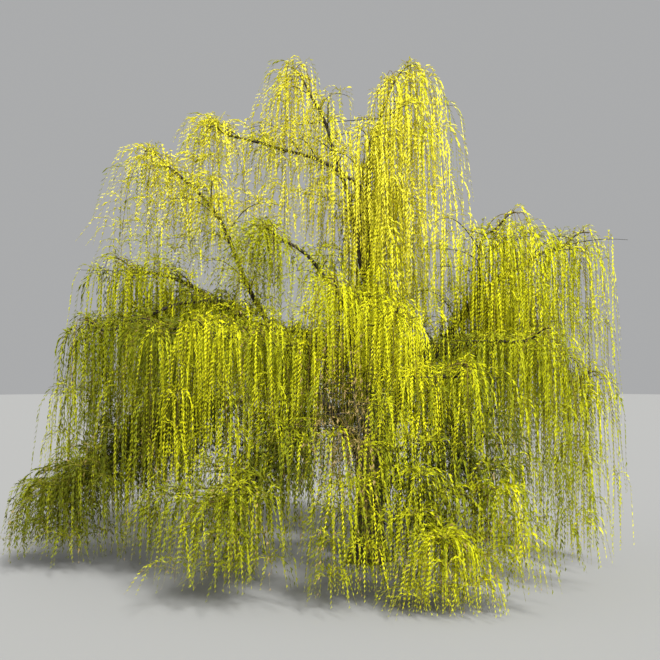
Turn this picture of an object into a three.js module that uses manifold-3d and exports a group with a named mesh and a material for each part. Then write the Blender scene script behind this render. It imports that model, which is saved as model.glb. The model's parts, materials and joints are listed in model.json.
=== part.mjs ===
// Weeping willow in spring leaf, rooted in the ground: a trunk, its boughs, and the weeping foliage
// that each bough ends in. Millimetres, +Z up, origin at the flat cut of the trunk at ground level.
// +X is to the right and +Y away from the viewer. Every solid keeps SEAT_GAP to its neighbours.

import * as THREE from 'three';
import { mergeVertices } from 'three/addons/utils/BufferGeometryUtils.js';
import Module from 'manifold-3d';

const wasm = await Module();
wasm.setup();

const UP = new THREE.Vector3(0, 0, 1);
const SEAT_GAP = 0.3;
const NEARLY_NOTHING = 0.01;

// Trunk: radius by height, from the root flare to the rounded top that the limbs leave
const FORK_HEIGHT = 2300;
const TRUNK_TOP = 2620;
const WAIST_RADIUS = 310;
const FLARE_RADIUS = 500;
const FLARE_HEIGHT = 420;
const SWELL_AT_FORK = 1.2;
const SWELL_FROM = 1300;
const DOME_FROM = 2100;
const DOME_DEPTH = 0.82;
const TRUNK_LEAN = { x: 130, y: -60 };
const ROOT_LOBES = 5;
const LOBE_DEPTH = 0.16;
const TRUNK_SIDES = 16;
const RING_HEIGHTS = [0, 130, 320, 650, 1150, 1750, 2150, 2400, 2540, TRUNK_TOP];

// Boughs: radius at the tip, and how much thicker each gets for every millimetre towards its foot
const TIP_RADIUS = 26;
const LIMB_TAPER = 0.02;
const BOUGH_TAPER = 0.013;
const MOST_OF_PARENT = 0.72;
const THINNING = 0.8;
const PARENT_PULL = 0.7;
const LEAVING_SHARE = 0.36;
const ARRIVING_SHARE = 0.3;
const MIDDLE_BEYOND = 0.3;
const LIMB_SIDES = 7;
const BOUGH_SIDES = 5;
const BOUGH_STEPS = 5;

// Stems: how far each runs straight on, and where it crests and ends, in spreads out and crests up
const STEM_SIDES = 4;
const STEM_STEPS = 3;
const STEM_RADIUS = 24.7;
const STEM_END_RADIUS = 20;
const STEM_RUN = 0.22;
const STEM_CREST = { out: 0.3, up: 0.8 };
const STEM_END = { out: 0.62, up: 0.62 };

// Shoots: where on the stem they root, how they arch over and fall, and how ragged their ends are
const SHOOT_SIDES = 3;
const SHOOT_RADIUS = 13;
const SHOOT_END_RADIUS = 8;
const SHOOT_STEPS = 4;
const FIRST_ROOT = 0.25;
const LAST_ROOT = 0.97;
const SHOULDER_FALL = 0.9;
const OVER_SHARE = 0.45;
const OVER_LIFT = 0.28;
const DOWN_SHARE = 0.12;
const RAGGED = 0.25;
const SPIRAL_STRIDE = 3;
const SPIRAL_START = 0.8;
const FIRST_SEED = 11;
const SHOOT_SPACING = 194;
const SHOOT_TRIES = 30;

// Sprays of leaves on the shoots
const LEAF_PITCH = 1000;
const FEWEST_LEAVES = 2;
const MOST_LEAVES = 3;
const LEAF_SHARE = 0.95;
const LONGEST_LEAF = 1100;
const LEAF_WIDTH = 0.26;
const LEAF_THICKNESS = 0.08;
const LEAF_SPLAY = 0.24;
const LAST_WIDEST = 0.45;
const LAST_FULLNESS = 0.6;
const LAST_ROOM = 0.35;
const SPRAY_OFFSET = 0.2;
const SPRAY_SCATTER = 0.3;

// The space of each mass, and what keeps clear of the limbs
const LIMB_CLEARANCE = 30;
const SPACE_STEP = 350;
const SPACE_EDGE = 1.3;
const SPACE_MARGIN = 0.07;
const SPACE_SAMPLES = 16;

// Every bough grows from a point partway along its parent, and ends where its foliage begins. The tip
// lies at a bearing round the trunk (0 right, 90 back, 180 left, 270 front), a reach from its axis and
// a height. slope is the rise for each unit outwards with which it arrives there. Its foliage rises
// above the tip by crest, hangs within spread of its middle, and comes down to the hem.
function planned(name, from, at, bearing, reach, height, slope, crest, spread, hem) {
  return { name, from, at, bearing, reach, height, slope, crest, spread, hem };
}

const BOUGHS = [
  // the five limbs of the fork
  planned('leader', 'trunk', 1.0, 345, 430, 10050, 2.5, 1050, 1150, 5000),
  planned('left', 'trunk', 0.86, 179, 5000, 6300, 0.15, 450, 1100, 2500),
  planned('right', 'trunk', 0.92, 358, 4150, 6800, 0.25, 500, 1000, 3000),
  planned('front', 'trunk', 0.88, 258, 3250, 5650, 0.3, 480, 950, 3000),
  planned('back', 'trunk', 0.9, 88, 3900, 6000, 0.2, 450, 1150, 2900),
  // the crown above
  planned('top_left', 'leader', 0.4, 168, 1300, 10200, 1.8, 950, 950, 7000),
  planned('upper_left', 'leader', 0.72, 176, 3100, 9300, 0.35, 450, 950, 6700),
  planned('upper_left_outer', 'left', 0.42, 184, 4300, 8500, 0.5, 550, 900, 5900),
  planned('middle_left', 'leader', 0.26, 214, 2250, 6900, 0.3, 400, 950, 4500),
  planned('top_back', 'leader', 0.5, 80, 2150, 8300, 0.5, 450, 1100, 4900),
  // the left side, down to the low sprawl
  planned('left_outer', 'left', 0.74, 187, 5600, 5000, -0.3, 350, 950, 1500),
  planned('left_front', 'left', 0.5, 208, 4600, 5000, -0.1, 350, 1050, 700),
  planned('low_left', 'left', 0.3, 188, 6300, 1650, -0.6, 150, 1150, 400),
  planned('left_back', 'left', 0.56, 152, 4900, 5600, -0.1, 400, 1150, 900),
  // the tiers in front
  planned('front_tuft', 'front', 0.45, 229, 4750, 4950, 0.15, 350, 750, 2100),
  planned('front_left', 'front', 0.55, 239, 3950, 4750, 0.1, 400, 800, 900),
  planned('front_dome', 'front', 0.72, 276, 3750, 5100, 0.1, 450, 800, 2700),
  planned('front_middle', 'front', 0.6, 266, 4750, 2850, -0.5, 280, 850, 350),
  planned('front_low_left', 'front', 0.3, 240, 5300, 1800, -0.5, 200, 1000, 500),
  planned('front_low', 'front_middle', 0.6, 281, 5450, 1250, -0.6, 200, 950, 80),
  // the right side
  planned('right_crest', 'right', 0.66, 331, 2900, 7050, 0.4, 550, 950, 4200),
  planned('right_low', 'right', 0.5, 352, 4350, 3900, -0.3, 350, 900, 450),
  planned('right_front', 'right', 0.4, 316, 4200, 4800, 0.05, 350, 950, 500),
  planned('front_right', 'right', 0.25, 292, 4050, 4100, 0.05, 400, 850, 2100),
  planned('low_right', 'front_right', 0.55, 291, 5300, 2000, -0.5, 300, 850, 450),
  planned('right_back', 'right', 0.55, 34, 4200, 5700, 0.0, 400, 1150, 900),
  // the back
  planned('back_left', 'back', 0.5, 116, 4500, 5000, 0.0, 350, 1100, 700),
  planned('back_right', 'back', 0.5, 62, 4600, 4500, 0.0, 350, 1050, 500),
  planned('back_low', 'back', 0.7, 93, 5050, 2600, -0.4, 250, 1000, 350),
];

const barkColour = { color: '#4b4030', roughness: 0.9, metalness: 0 };
const sunlitColour = { color: '#cfd423', roughness: 0.6, metalness: 0 };
const shadedColour = { color: '#98a21c', roughness: 0.65, metalness: 0 };

// A repeatable source of even random numbers from 0 to 1
function seededRandom(seed) {
  let state = seed;
  return () => {
    state = (state + 0x6d2b79f5) | 0;
    let mixed = Math.imul(state ^ (state >>> 15), 1 | state);
    mixed = (mixed + Math.imul(mixed ^ (mixed >>> 7), 61 | mixed)) ^ mixed;
    return ((mixed ^ (mixed >>> 14)) >>> 0) / 2 ** 32;
  };
}

function atBearing(degrees, reach, height) {
  const turn = THREE.MathUtils.degToRad(degrees);
  return new THREE.Vector3(reach * Math.cos(turn), reach * Math.sin(turn), height);
}

// Solids and meshes
function toManifold(geometry) {
  geometry.deleteAttribute('normal');
  geometry.deleteAttribute('uv');
  const merged = mergeVertices(geometry);
  const mesh = new wasm.Mesh({
    numProp: 3,
    vertProperties: new Float32Array(merged.attributes.position.array),
    triVerts: new Uint32Array(merged.index.array),
  });
  return new wasm.Manifold(mesh);
}

function toGeometry(solid) {
  const mesh = solid.getMesh();
  const geometry = new THREE.BufferGeometry();
  geometry.setAttribute('position', new THREE.BufferAttribute(mesh.vertProperties, 3));
  geometry.setIndex(new THREE.BufferAttribute(mesh.triVerts, 1));
  const flat = geometry.toNonIndexed();
  flat.computeVertexNormals();
  return flat;
}

// The largest body of a solid: scraps that a cut leaves loose are dropped, and so are sealed hollows
function largestBody(solid) {
  const bodies = solid.decompose();
  return bodies.reduce((best, body) => (body.volume() > best.volume() ? body : best));
}

// A closed skin over rings of points, each ring running anticlockwise seen from beyond it. It ends in
// a point of its own where a tip is given, and flat otherwise.
function loft(rings, tip) {
  const sides = rings[0].length;
  const points = rings.flat();
  const first = points.push(centreOf(rings[0])) - 1;
  const last = points.push(tip ?? centreOf(rings.at(-1))) - 1;
  const faces = [];
  for (let side = 0; side < sides; side++) {
    const next = (side + 1) % sides;
    const top = (rings.length - 1) * sides;
    faces.push(first, next, side);
    faces.push(last, top + side, top + next);
    for (let ring = 0; ring < rings.length - 1; ring++) {
      const low = ring * sides;
      const high = low + sides;
      faces.push(low + side, low + next, high + next);
      faces.push(low + side, high + next, high + side);
    }
  }
  const geometry = new THREE.BufferGeometry().setFromPoints(points);
  geometry.setIndex(faces);
  return geometry;
}

function centreOf(ring) {
  return ring.reduce((sum, point) => sum.add(point), new THREE.Vector3()).divideScalar(ring.length);
}

// A path of straight runs through a curve. Tubes are lofted along it, and what grows from a tube is
// seated on the same runs, so that it sits well in.
function pathThrough(curve, steps) {
  const points = curve.getPoints(steps);
  const runs = points.slice(1).map((point, run) => point.clone().sub(points[run]));
  const ways = runs.map((run) => run.clone().normalize());
  const reached = [0];
  for (const run of runs) reached.push(reached.at(-1) + run.length());
  return { points, ways, reached, length: reached.at(-1) };
}

function onPath(path, at) {
  const distance = at * path.length;
  const beyond = path.reached.findIndex((reached) => reached >= distance);
  const run = Math.max(beyond - 1, 0);
  const place = path.points[run].clone().addScaledVector(path.ways[run], distance - path.reached[run]);
  return { place, run, way: path.ways[run] };
}

// At each point of a path, two directions across it that turn no more than the path itself does. Its
// first ring lies across the path's first run, or squarely to another direction that the path faces.
function framesAlong(path) {
  const ways = path.points.map((point, index) => {
    if (index === 0 && path.faces) return path.faces;
    const before = path.ways[Math.max(index - 1, 0)];
    const after = path.ways[Math.min(index, path.ways.length - 1)];
    return before.clone().add(after).normalize();
  });
  let across = new THREE.Vector3().crossVectors(UP, ways[0]);
  if (across.length() < NEARLY_NOTHING) across.set(1, 0, 0);
  return ways.map((way) => {
    across = across.clone().addScaledVector(way, -across.dot(way)).normalize();
    return { across, over: way.clone().cross(across) };
  });
}

function ringAround(middle, across, over, sides, radius) {
  const ring = [];
  for (let side = 0; side < sides; side++) {
    const turn = (2 * Math.PI * side) / sides;
    const point = middle.clone().addScaledVector(across, radius * Math.cos(turn));
    ring.push(point.addScaledVector(over, radius * Math.sin(turn)));
  }
  return ring;
}

// A tapering limb or twig: a ring at each point of a path, with its radius by the share of the length
function taperedRings(path, sides, radiusAt) {
  return framesAlong(path).map(({ across, over }, index) => {
    const radius = radiusAt(path.reached[index] / path.length);
    return ringAround(path.points[index], across, over, sides, radius);
  });
}

// Trunk
function trunkCentre(height) {
  const share = height / TRUNK_TOP;
  return new THREE.Vector3(TRUNK_LEAN.x * share * share, TRUNK_LEAN.y * share * share, height);
}

function trunkRadius(height, bearing) {
  const flare = Math.exp(-height / FLARE_HEIGHT);
  const lobe = 1 + LOBE_DEPTH * flare * Math.cos(ROOT_LOBES * bearing);
  const swell = 1 + (SWELL_AT_FORK - 1) * THREE.MathUtils.smoothstep(height, SWELL_FROM, FORK_HEIGHT);
  const closing = THREE.MathUtils.smoothstep(height, DOME_FROM, TRUNK_TOP);
  const dome = Math.sqrt(1 - DOME_DEPTH * closing * closing);
  return (WAIST_RADIUS + (FLARE_RADIUS - WAIST_RADIUS) * flare) * lobe * swell * dome;
}

function trunkSolid(extra) {
  const rings = RING_HEIGHTS.map((height) => {
    const ring = [];
    for (let side = 0; side < TRUNK_SIDES; side++) {
      const turn = (2 * Math.PI * side) / TRUNK_SIDES;
      const radius = trunkRadius(height, turn) + extra;
      const lifted = height === TRUNK_TOP ? height + extra : height;
      ring.push(trunkCentre(height).setZ(lifted).add(atBearing(THREE.MathUtils.radToDeg(turn), radius, 0)));
    }
    return ring;
  });
  return toManifold(loft(rings));
}

// Boughs: each is one curve from inside its parent to its tip
const boughs = new Map();

function layOut(row) {
  const tip = atBearing(row.bearing, row.reach, row.height);
  const outward = atBearing(row.bearing, 1, 0);
  const parent = boughs.get(row.from);
  const foothold = parent && onPath(parent.path, row.at);
  const start = parent ? foothold.place : trunkCentre(FORK_HEIGHT * row.at);
  const along = parent ? foothold.way.clone() : UP.clone();
  const length = start.distanceTo(tip);
  const leaving = tip.clone().sub(start).normalize().add(along.multiplyScalar(PARENT_PULL)).normalize();
  const arriving = outward.clone().setZ(row.slope).normalize();
  const curve = new THREE.CubicBezierCurve3(
    start,
    start.clone().addScaledVector(leaving, length * LEAVING_SHARE),
    tip.clone().addScaledVector(arriving, -length * ARRIVING_SHARE),
    tip,
  );
  const path = pathThrough(curve, BOUGH_STEPS);
  const widest = TIP_RADIUS + length * (parent ? BOUGH_TAPER : LIMB_TAPER);
  const foot = parent ? Math.min(widest, MOST_OF_PARENT * parent.radiusAt(row.at)) : widest;
  const radiusAt = (fraction) => foot + (TIP_RADIUS - foot) * Math.pow(fraction, THINNING);
  const middle = tip.clone().addScaledVector(outward, row.spread * MIDDLE_BEYOND);
  return { ...row, tip, outward, arriving: path.ways.at(-1), path, radiusAt, middle };
}

for (const row of BOUGHS) boughs.set(row.name, layOut(row));

function boughSolid(bough, extra) {
  const sides = bough.from === 'trunk' ? LIMB_SIDES : BOUGH_SIDES;
  return toManifold(loft(taperedRings(bough.path, sides, (at) => bough.radiusAt(at) + extra)));
}

// The straight runs of every bough and the trunk, which no twig or leaf may touch
function runsOf(path) {
  return path.ways.map((_, run) => new THREE.Line3(path.points[run], path.points[run + 1]));
}

const limbRuns = [{ line: new THREE.Line3(trunkCentre(0), trunkCentre(TRUNK_TOP)), radius: FLARE_RADIUS }];
for (const bough of boughs.values()) {
  runsOf(bough.path).forEach((line, run) => {
    limbRuns.push({ line, radius: bough.radiusAt(bough.path.reached[run] / bough.path.length) });
  });
}

function clearOfLimbs(lines, halfWidth) {
  return lines.every((line) => limbRuns.every((limb) => {
    const between = Math.sqrt(limb.line.distanceSqToLine3(line));
    return between > limb.radius + halfWidth + LIMB_CLEARANCE;
  }));
}

// Foliage spaces: a point belongs to the mass whose upright middle line it is nearest to, counted
// sideways in spreads of that mass, and above its top or below its hem in much shorter steps
function remoteness(bough, point) {
  const sideways = Math.hypot(point.x - bough.middle.x, point.y - bough.middle.y) / bough.spread;
  const level = THREE.MathUtils.clamp(point.z, bough.hem, bough.height + bough.crest);
  return Math.hypot(sideways, (point.z - level) / SPACE_STEP);
}

function inSpace(bough, point) {
  const own = remoteness(bough, point);
  if (own > SPACE_EDGE) return false;
  for (const other of boughs.values()) {
    if (other !== bough && remoteness(other, point) < own + SPACE_MARGIN) return false;
  }
  return true;
}

function fits(bough, points, lines, halfWidth) {
  return points.every((point) => inSpace(bough, point)) && clearOfLimbs(lines, halfWidth);
}

// The stem of a mass carries on from its bough's tip and arches over outwards
function stemPath(bough) {
  const start = bough.tip.clone().addScaledVector(bough.arriving, SEAT_GAP);
  const beyond = ({ out, up }) => start.clone()
    .addScaledVector(bough.outward, bough.spread * out)
    .addScaledVector(UP, bough.crest * up);
  const running = start.clone().addScaledVector(bough.arriving, bough.spread * STEM_RUN);
  const curve = new THREE.CubicBezierCurve3(start, running, beyond(STEM_CREST), beyond(STEM_END));
  return { ...pathThrough(curve, STEM_STEPS), faces: bough.arriving };
}

// A shoot leaves the stem, arches over and hangs to its end, which lies on an even spiral round the middle
function shootPath(bough, stem, turn, share, endHeight, random) {
  const root = onPath(stem, THREE.MathUtils.lerp(FIRST_ROOT, LAST_ROOT, random())).place;
  const ring = bough.spread * Math.sqrt(share);
  const end = bough.middle.clone().add(atBearing(THREE.MathUtils.radToDeg(turn), ring, 0)).setZ(endHeight);
  const shoulder = bough.height + bough.crest * (1 - SHOULDER_FALL * share);
  const arch = Math.max(root.z, shoulder) + OVER_LIFT * bough.crest;
  const over = root.clone().lerp(end, OVER_SHARE).setZ(arch);
  const down = end.clone().setZ(THREE.MathUtils.lerp(shoulder, endHeight, DOWN_SHARE));
  return pathThrough(new THREE.CubicBezierCurve3(root, over, down, end), SHOOT_STEPS);
}

function shootRadius(at) {
  return THREE.MathUtils.lerp(SHOOT_RADIUS, SHOOT_END_RADIUS, at);
}

// A shoot's skin ends in its last spray: a ring as wide as the spray is, flattened, and then its tip
function shootSolid(path, length) {
  const rings = taperedRings(path, SHOOT_SIDES, shootRadius);
  const { across, over } = framesAlong(path).at(-1);
  const end = path.points.at(-1);
  const widest = end.clone().addScaledVector(path.ways.at(-1), length * LAST_WIDEST);
  const broad = across.clone().multiplyScalar(LEAF_WIDTH);
  const thin = over.clone().multiplyScalar(LEAF_THICKNESS);
  rings.push(ringAround(widest, broad, thin, SHOOT_SIDES, length * LAST_FULLNESS));
  return loft(rings, end.clone().addScaledVector(path.ways.at(-1), length));
}

// A leaf of eight faces stands for a spray. It leaves through one of its shoot's flat sides,
// with its thin way across the shoot, and hangs on beside it.
function leafOn(path, at, flatSide, length) {
  const { place, run, way: hanging } = onPath(path, at);
  const { across, over } = framesAlong(path)[run + 1];
  const turn = (Math.PI * (2 * flatSide + 1)) / SHOOT_SIDES;
  const side = across.clone().multiplyScalar(Math.cos(turn)).addScaledVector(over, Math.sin(turn));
  const way = hanging.clone().addScaledVector(side, LEAF_SPLAY).normalize();
  const thin = side.addScaledVector(way, -side.dot(way)).normalize();
  const broad = way.clone().cross(thin);
  const size = new THREE.Vector3(length * LEAF_THICKNESS, length * LEAF_WIDTH, length).multiplyScalar(0.5);
  const line = new THREE.Line3(place, place.clone().addScaledVector(way, length));
  const matrix = new THREE.Matrix4().makeBasis(thin, broad, way).scale(size);
  matrix.setPosition(line.getCenter(new THREE.Vector3()));
  return { spray: new THREE.OctahedronGeometry(1).applyMatrix4(matrix), line };
}

function cornersOf(geometry) {
  const place = geometry.attributes.position;
  const corners = [];
  for (let index = 0; index < place.count; index++) {
    corners.push(new THREE.Vector3().fromBufferAttribute(place, index));
  }
  return corners;
}

function pointsAlong(path, count) {
  return Array.from({ length: count }, (_, index) => onPath(path, (index + 1) / count).place);
}

function growMass(bough, seed) {
  const random = seededRandom(seed);
  const stem = stemPath(bough);
  const stemRadius = (at) => THREE.MathUtils.lerp(STEM_RADIUS, STEM_END_RADIUS, at);
  const goldenTurn = Math.PI * (3 - Math.sqrt(5));
  const firstTurn = 2 * Math.PI * random();
  const drop = bough.height + bough.crest - bough.hem;
  const leafCount = THREE.MathUtils.clamp(Math.round(drop / LEAF_PITCH), FEWEST_LEAVES, MOST_LEAVES);
  const length = Math.min((LEAF_SHARE * drop) / (leafCount + LAST_ROOM), LONGEST_LEAF);
  const shoots = Math.round(bough.spread / SHOOT_SPACING);
  let solid = toManifold(loft(taperedRings(stem, STEM_SIDES, stemRadius)));
  let grown = 0;
  for (let attempt = 0; attempt < SHOOT_TRIES && grown < shoots; attempt++) {
    const share = ((attempt * SPIRAL_STRIDE) % shoots + SPIRAL_START) / shoots;
    const ragged = grown === 0 ? 0 : RAGGED * random() * random();
    const endHeight = bough.hem + length + drop * ragged;
    const turn = firstTurn + attempt * goldenTurn;
    const path = shootPath(bough, stem, turn, Math.min(share, 1), endHeight, random);
    const tip = path.points.at(-1).clone().addScaledVector(path.ways.at(-1), length);
    const lines = [...runsOf(path), new THREE.Line3(path.points.at(-1), tip)];
    if (!fits(bough, [...pointsAlong(path, SPACE_SAMPLES), tip], lines, SHOOT_RADIUS)) continue;
    solid = solid.add(toManifold(shootSolid(path, length)));
    grown += 1;
    for (let leaf = 1; leaf < leafCount; leaf++) {
      const at = 1 - (leaf - SPRAY_OFFSET + SPRAY_SCATTER * random()) / leafCount;
      const { spray, line } = leafOn(path, at, attempt + leaf, length);
      const halfWidth = (LEAF_WIDTH * length) / 2;
      if (fits(bough, cornersOf(spray), [line], halfWidth)) solid = solid.add(toManifold(spray));
    }
  }
  return largestBody(solid);
}

// Assembly
const willow = new THREE.Group();

function addPiece(name, solid, finish) {
  const mesh = new THREE.Mesh(toGeometry(solid), new THREE.MeshStandardMaterial(finish));
  mesh.name = name;
  willow.add(mesh);
}

addPiece('trunk', trunkSolid(0), barkColour);

const placed = [trunkSolid(SEAT_GAP)];
for (const bough of boughs.values()) {
  let solid = boughSolid(bough, 0);
  for (const earlier of placed) solid = solid.subtract(earlier);
  addPiece(`bough_${bough.name}`, largestBody(solid), barkColour);
  placed.push(boughSolid(bough, SEAT_GAP));
}

[...boughs.values()].forEach((bough, index) => {
  const finish = bough.bearing > 180 ? sunlitColour : shadedColour;
  addPiece(`foliage_${bough.name}`, growMass(bough, FIRST_SEED + index), finish);
});

export default willow;
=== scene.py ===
import json
import math

import bpy
import numpy as np
from mathutils import Euler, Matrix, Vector, noise

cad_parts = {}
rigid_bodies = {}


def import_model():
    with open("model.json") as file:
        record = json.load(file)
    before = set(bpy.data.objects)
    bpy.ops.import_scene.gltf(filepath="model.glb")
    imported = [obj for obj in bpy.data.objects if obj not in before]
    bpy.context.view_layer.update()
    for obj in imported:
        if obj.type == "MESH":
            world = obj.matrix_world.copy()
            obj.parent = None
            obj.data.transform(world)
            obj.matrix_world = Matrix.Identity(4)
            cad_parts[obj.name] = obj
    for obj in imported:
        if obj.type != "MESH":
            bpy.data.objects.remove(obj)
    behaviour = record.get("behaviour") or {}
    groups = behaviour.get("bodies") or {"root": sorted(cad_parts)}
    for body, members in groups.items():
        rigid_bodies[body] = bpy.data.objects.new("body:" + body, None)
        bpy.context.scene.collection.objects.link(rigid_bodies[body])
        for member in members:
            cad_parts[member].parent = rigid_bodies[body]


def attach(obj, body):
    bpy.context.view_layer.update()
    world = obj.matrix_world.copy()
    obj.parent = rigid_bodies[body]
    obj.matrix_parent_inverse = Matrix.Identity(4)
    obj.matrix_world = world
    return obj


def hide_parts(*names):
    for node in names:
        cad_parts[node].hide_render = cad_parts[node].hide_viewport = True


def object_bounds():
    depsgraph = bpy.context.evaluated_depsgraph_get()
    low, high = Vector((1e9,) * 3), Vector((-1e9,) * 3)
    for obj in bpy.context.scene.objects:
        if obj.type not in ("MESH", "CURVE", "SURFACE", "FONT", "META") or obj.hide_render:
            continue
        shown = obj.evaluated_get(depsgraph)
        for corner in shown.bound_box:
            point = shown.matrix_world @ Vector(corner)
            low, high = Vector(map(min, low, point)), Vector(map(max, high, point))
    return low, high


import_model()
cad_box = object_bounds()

# Trunk
# The short leaning stem of the willow, living wood under thick grey-brown bark with long furrows.
# It is rooted in the ground: it flares into root lobes there, and swells again where the limbs leave.
FORK_HEIGHT = 2.3
TRUNK_TOP = 2.62
WAIST_RADIUS = 0.31
FLARE_RADIUS = 0.5
FLARE_HEIGHT = 0.42
SWELL_AT_FORK = 1.2
SWELL_FROM = 1.3
DOME_FROM = 2.1
DOME_DEPTH = 0.82
TRUNK_LEAN = np.array([0.13, -0.06])
ROOT_LOBES = 5
LOBE_DEPTH = 0.16
TRUNK_SIDES = 120
TRUNK_RINGS = 96
FURROW_DEPTH = 0.022
FURROW_WIDTH = 0.07
FURROW_LENGTH = 0.55
FURROW_WANDER = 0.6
WANDER_PITCH = 0.7
FURROW_SHARPNESS = 3
RINGS_TOWARDS_TOP = 0.92
BARK_GRAIN = (15, 15, 2.6)
FURROW_DARK = "#1f1a14"
RIDGE_BROWN = "#5a4f3f"
LICHEN_GREEN = "#5f6240"
NOISE_SEED = 11
# without a seed the noise vectors, and so the bark and the crooks, would differ from run to run
noise.seed_set(NOISE_SEED)


def colour(code):
    """A colour written as in paint charts, turned into the even scale that light is reckoned in"""
    shares = [int(code[at:at + 2], 16) / 255 for at in (1, 3, 5)]
    even = [s / 12.92 if s <= 0.04045 else ((s + 0.055) / 1.055) ** 2.4 for s in shares]
    return (*even, 1.0)


def smooth_step(value, low, high):
    share = min(max((value - low) / (high - low), 0), 1)
    return share * share * (3 - 2 * share)


def trunk_centre(height):
    share = height / TRUNK_TOP
    return np.array([*(TRUNK_LEAN * share * share), height])


def trunk_radius(height, turn):
    flare = math.exp(-height / FLARE_HEIGHT)
    lobe = 1 + LOBE_DEPTH * flare * math.cos(ROOT_LOBES * turn)
    swell = 1 + (SWELL_AT_FORK - 1) * smooth_step(height, SWELL_FROM, FORK_HEIGHT)
    dome = math.sqrt(1 - DOME_DEPTH * smooth_step(height, DOME_FROM, TRUNK_TOP) ** 2)
    return (WAIST_RADIUS + (FLARE_RADIUS - WAIST_RADIUS) * flare) * lobe * swell * dome


def furrow(grain):
    """How deep the bark is cut at a place that is counted across, across and along the grain"""
    stretched = Vector((grain[0] / FURROW_WIDTH, grain[1] / FURROW_WIDTH, grain[2] / FURROW_LENGTH))
    bent = stretched + FURROW_WANDER * noise.noise_vector(stretched * WANDER_PITCH)
    return 1 - abs(noise.noise(bent)) * FURROW_SHARPNESS


def node_in(tree, kind, sockets=None, **settings):
    """A new node with its settings, its sockets joined to other nodes or set to a value"""
    node = tree.nodes.new(kind)
    for name, value in settings.items():
        setattr(node, name, value)
    for key, value in (sockets or {}).items():
        if isinstance(key, str):
            socket = next(s for s in node.inputs if s.name == key and s.enabled)
        else:
            socket = node.inputs[key]
        if isinstance(value, bpy.types.NodeSocket):
            tree.links.new(value, socket)
        else:
            socket.default_value = value
    return node


def new_finish(name):
    material = bpy.data.materials.new(name)
    material.use_nodes = True
    return material, material.node_tree, material.node_tree.nodes["Principled BSDF"]


bark, tree, shader = new_finish("furrowed_bark")
grain = node_in(tree, "ShaderNodeAttribute", attribute_name="grain").outputs["Vector"]
along_grain = node_in(tree, "ShaderNodeMapping", {"Vector": grain, "Scale": BARK_GRAIN})
fissures = node_in(tree, "ShaderNodeTexNoise", {
    "Vector": along_grain.outputs[0], "Scale": 1.0, "Detail": 7.0, "Roughness": 0.62, "Distortion": 0.5})
plates = node_in(tree, "ShaderNodeTexVoronoi", {"Vector": along_grain.outputs[0], "Scale": 0.9},
                 feature="DISTANCE_TO_EDGE")
depth = node_in(tree, "ShaderNodeMath", {0: plates.outputs["Distance"], 1: fissures.outputs[0]},
                operation="MULTIPLY")
wood_tones = node_in(tree, "ShaderNodeValToRGB", {"Fac": depth.outputs[0]})
wood_tones.color_ramp.elements[0].color = colour(FURROW_DARK)
wood_tones.color_ramp.elements[1].position = 0.3
wood_tones.color_ramp.elements[1].color = colour(RIDGE_BROWN)
place = node_in(tree, "ShaderNodeTexCoord").outputs["Object"]
lichen_patches = node_in(tree, "ShaderNodeTexNoise", {"Vector": place, "Scale": 2.3, "Detail": 5.0})
lichen_share = node_in(tree, "ShaderNodeMapRange", {
    "Value": lichen_patches.outputs[0], "From Min": 0.52, "From Max": 0.75, "To Max": 0.6})
bark_colour = node_in(tree, "ShaderNodeMix", {
    "Factor": lichen_share.outputs[0], "A": wood_tones.outputs[0], "B": colour(LICHEN_GREEN)},
    data_type="RGBA")
tree.links.new(next(s for s in bark_colour.outputs if s.enabled), shader.inputs["Base Color"])
relief = node_in(tree, "ShaderNodeBump", {"Height": depth.outputs[0], "Strength": 0.8, "Distance": 0.03})
tree.links.new(relief.outputs[0], shader.inputs["Normal"])
shader.inputs["Roughness"].default_value = 0.92

heights = TRUNK_TOP * np.linspace(0, 1, TRUNK_RINGS) ** RINGS_TOWARDS_TOP
corners, grains, faces = [], [], []
for height in heights:
    for side in range(TRUNK_SIDES):
        turn = 2 * math.pi * side / TRUNK_SIDES
        radius = trunk_radius(height, turn)
        across = np.array([math.cos(turn), math.sin(turn), 0])
        here = (*(across[:2] * radius), height)
        cut = FURROW_DEPTH * max(furrow(here), 0)
        corners.append(trunk_centre(height) + across * (radius - cut))
        grains.append(here)
for ring in range(TRUNK_RINGS - 1):
    for side in range(TRUNK_SIDES):
        low, beside = ring * TRUNK_SIDES + side, ring * TRUNK_SIDES + (side + 1) % TRUNK_SIDES
        faces.append((low, beside, beside + TRUNK_SIDES, low + TRUNK_SIDES))
faces.append(tuple(range(TRUNK_SIDES))[::-1])
faces.append(tuple(range((TRUNK_RINGS - 1) * TRUNK_SIDES, TRUNK_RINGS * TRUNK_SIDES)))
mesh = bpy.data.meshes.new("trunk_bark")
mesh.from_pydata([tuple(c) for c in corners], [], faces)
mesh.attributes.new("grain", "FLOAT_VECTOR", "POINT").data.foreach_set("vector", np.ravel(grains))
mesh.shade_smooth()
mesh.materials.append(bark)
trunk = bpy.data.objects.new("trunk_bark", mesh)
bpy.context.scene.collection.objects.link(trunk)
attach(trunk, "root")
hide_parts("trunk")

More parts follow.
